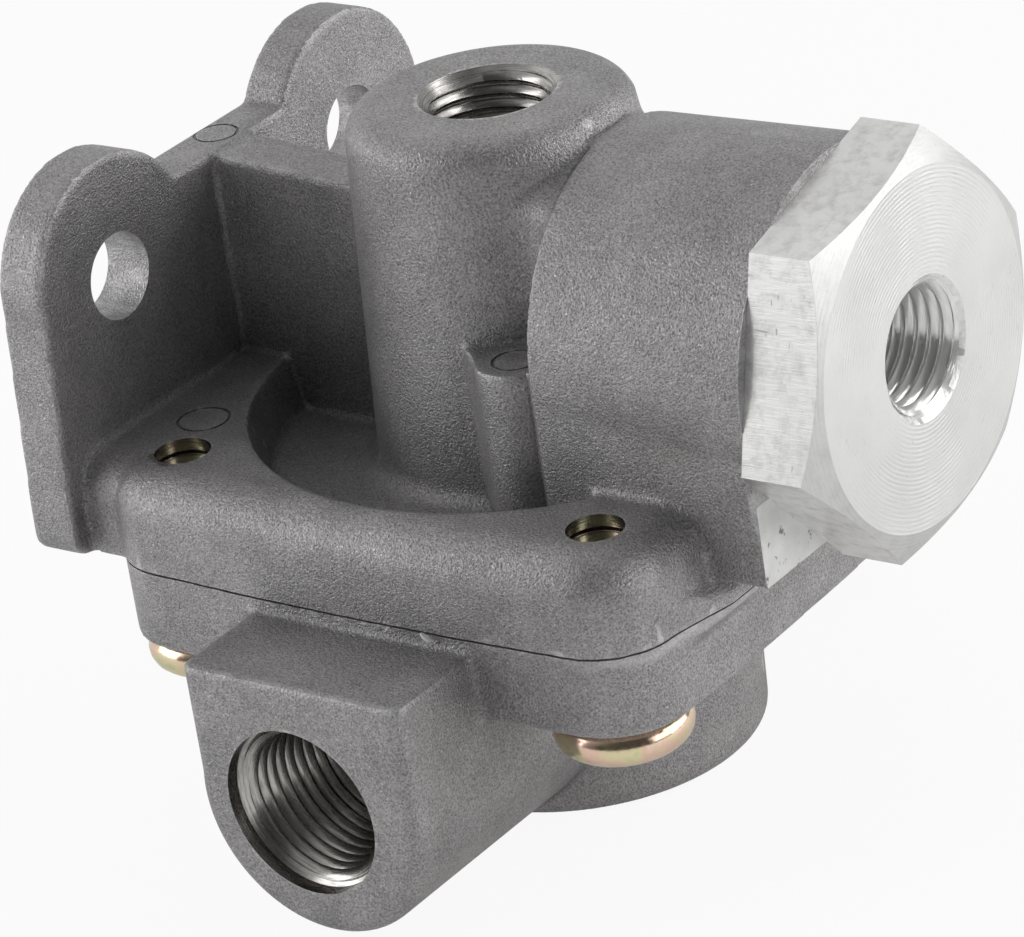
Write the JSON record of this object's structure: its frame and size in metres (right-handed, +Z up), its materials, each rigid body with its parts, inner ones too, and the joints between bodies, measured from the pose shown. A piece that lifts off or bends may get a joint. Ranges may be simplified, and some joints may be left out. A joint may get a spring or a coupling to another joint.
{
  "type": "quick exhaust valve",
  "caption": "Cast aluminium quick exhaust valve with a balance port on top, a hexagon supply cap, two side delivery ports, a bottom exhaust and a two-ear mounting plate.",
  "frame": {"origin": "centre of the exhaust mouth on the cover's flat bottom face", "axes": "+Z up the axis of the balance port, +X out of the supply cap nut, -Y and +Y out of the two delivery ports; the mounting plate is on the -X side"},
  "size_m": [0.0859, 0.0886, 0.0695],
  "materials": {
    "casting": "shot-blasted grey aluminium die casting",
    "turned_aluminium": "bright turned and milled aluminium",
    "yellow_zinc": "iridescent yellow zinc plating on steel",
    "rubber": "matt black nitrile rubber",
    "brass": "turned brass",
    "spring_steel": "drawn spring steel"
  },
  "bodies": {
    "valve": {"body": "casting", "mounting_plate": "casting", "cover": "casting", "cover_o_ring": "rubber", "cover_screws": "yellow_zinc", "supply_cap_nut": "turned_aluminium", "cap_nut_o_ring": "rubber", "check_valve_guide": "brass", "diaphragm_spring": "spring_steel"},
    "shuttle": {"check_valve_shuttle": "rubber"},
    "diaphragm": {"diaphragm": "rubber", "spring_seat": "spring_steel"}
  },
  "joints": [
    {"name": "shuttle_slide", "type": "slide", "parent": "valve", "child": "shuttle", "axis": [1, 0, 0], "range_m": [0, 0.003]},
    {"name": "diaphragm_lift", "type": "slide", "parent": "valve", "child": "diaphragm", "axis": [0, 0, -1], "range_m": [0, 0.0018], "stiffness_N_per_m": 300, "springref_m": -0.003, "deforming": ["diaphragm_spring"]}
  ]
}
